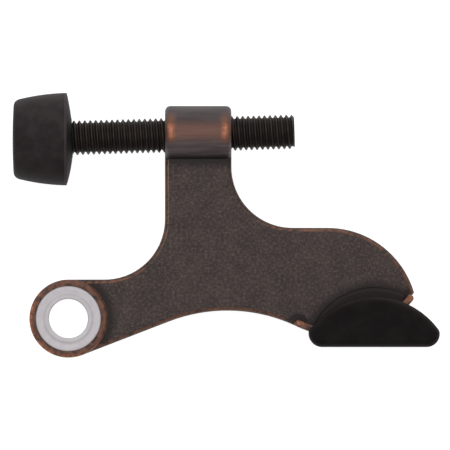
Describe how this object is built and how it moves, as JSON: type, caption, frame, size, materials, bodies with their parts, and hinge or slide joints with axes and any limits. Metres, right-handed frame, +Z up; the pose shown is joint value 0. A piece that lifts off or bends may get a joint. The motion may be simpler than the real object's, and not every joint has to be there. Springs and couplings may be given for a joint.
{
  "type": "hinge pin door stop",
  "caption": "Hinge-pin door stop: a cast arm turns on the hinge pin, a rubber pad leans on the door casing, and a rubber bumper on an adjustable threaded rod stops the door.",
  "frame": {"origin": "centre of the hinge-pin bore, halfway up the ring", "axes": "+Z up the hinge pin, +X along the arm from the ring to the foot, +Y from the arm to the rod"},
  "size_m": [0.0784, 0.0487, 0.017],
  "materials": {
    "aged_bronze": "dark oil-rubbed bronze plating, satin, worn to copper along its edges",
    "white_nylon": "translucent white moulded nylon, satin",
    "blackened_steel": "black oxide, lightly oiled",
    "bumper_rubber": "moulded black rubber, matte",
    "pad_rubber": "moulded black rubber, matte"
  },
  "bodies": {
    "arm": {"arm_casting": "aged_bronze", "hinge_pin_bushing": "white_nylon", "jamb_pad": "pad_rubber"},
    "bumper": {"rubber_bumper": "bumper_rubber"},
    "rod": {"threaded_rod": "blackened_steel"}
  },
  "joints": [
    {"name": "bumper_travel", "type": "slide", "parent": "arm", "child": "bumper", "axis": [0.9996, 0.0279, 0], "range_m": [-0.0116, 0.0166]},
    {"name": "rod_turn", "type": "hinge", "parent": "bumper", "child": "rod", "pos_m": [0.02382, 0.03382, 0], "axis": [0.9996, 0.0279, 0], "range_deg": [-4176, 5976]}
  ],
  "couplings": [
    {"joint": "rod_turn", "follows": "bumper_travel", "rad_per_m": 6283.2}
  ]
}
